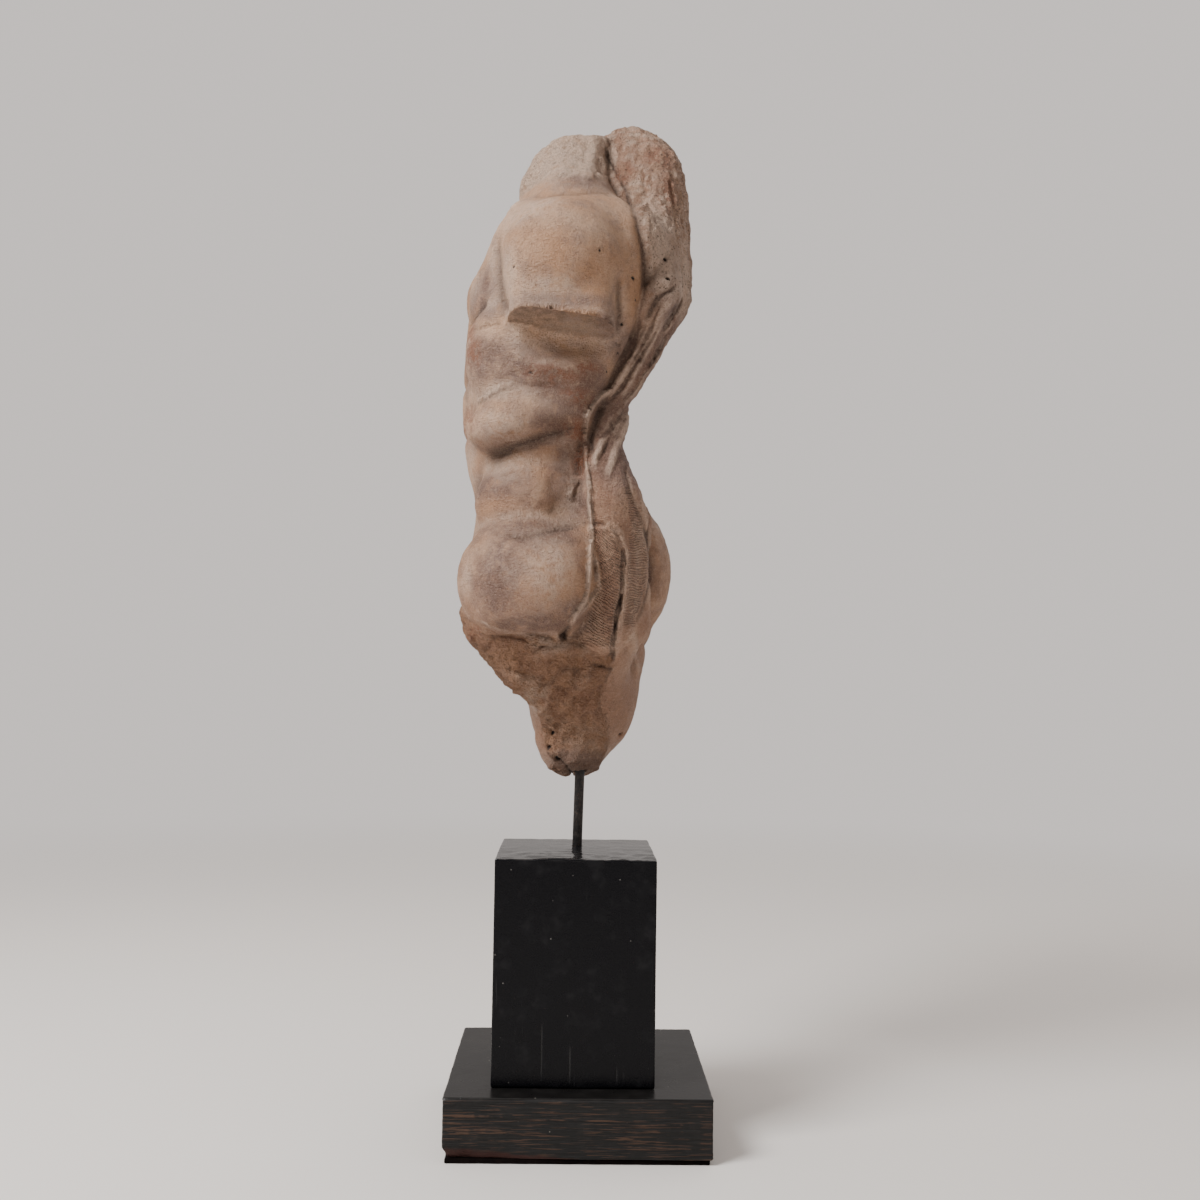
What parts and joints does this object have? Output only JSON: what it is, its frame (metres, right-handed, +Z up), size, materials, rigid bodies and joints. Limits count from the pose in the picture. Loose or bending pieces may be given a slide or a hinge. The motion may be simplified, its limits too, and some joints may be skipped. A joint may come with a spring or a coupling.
{
  "type": "plaster torso sculpture",
  "caption": "Broken plaster torso of a standing figure with a mantle at its back, held on a steel rod above a black wooden block and a square wooden base.",
  "frame": {"origin": "centre of the felt's underside, on the surface that the sculpture stands on", "axes": "+Z up; the figure's front faces -X, its left side faces -Y, its back faces +X"},
  "size_m": [0.2044, 0.2594, 0.8246],
  "materials": {
    "plaster": "matte",
    "black_steel": "satin",
    "black_lacquer": "gloss",
    "black_wood": "satin",
    "red_felt": "matte"
  },
  "bodies": {
    "root": {"plaster_torso": "plaster", "mounting_rod": "black_steel", "pedestal_block": "black_lacquer", "base_slab": "black_wood", "felt_underlay": "red_felt"}
  },
  "joints": []
}
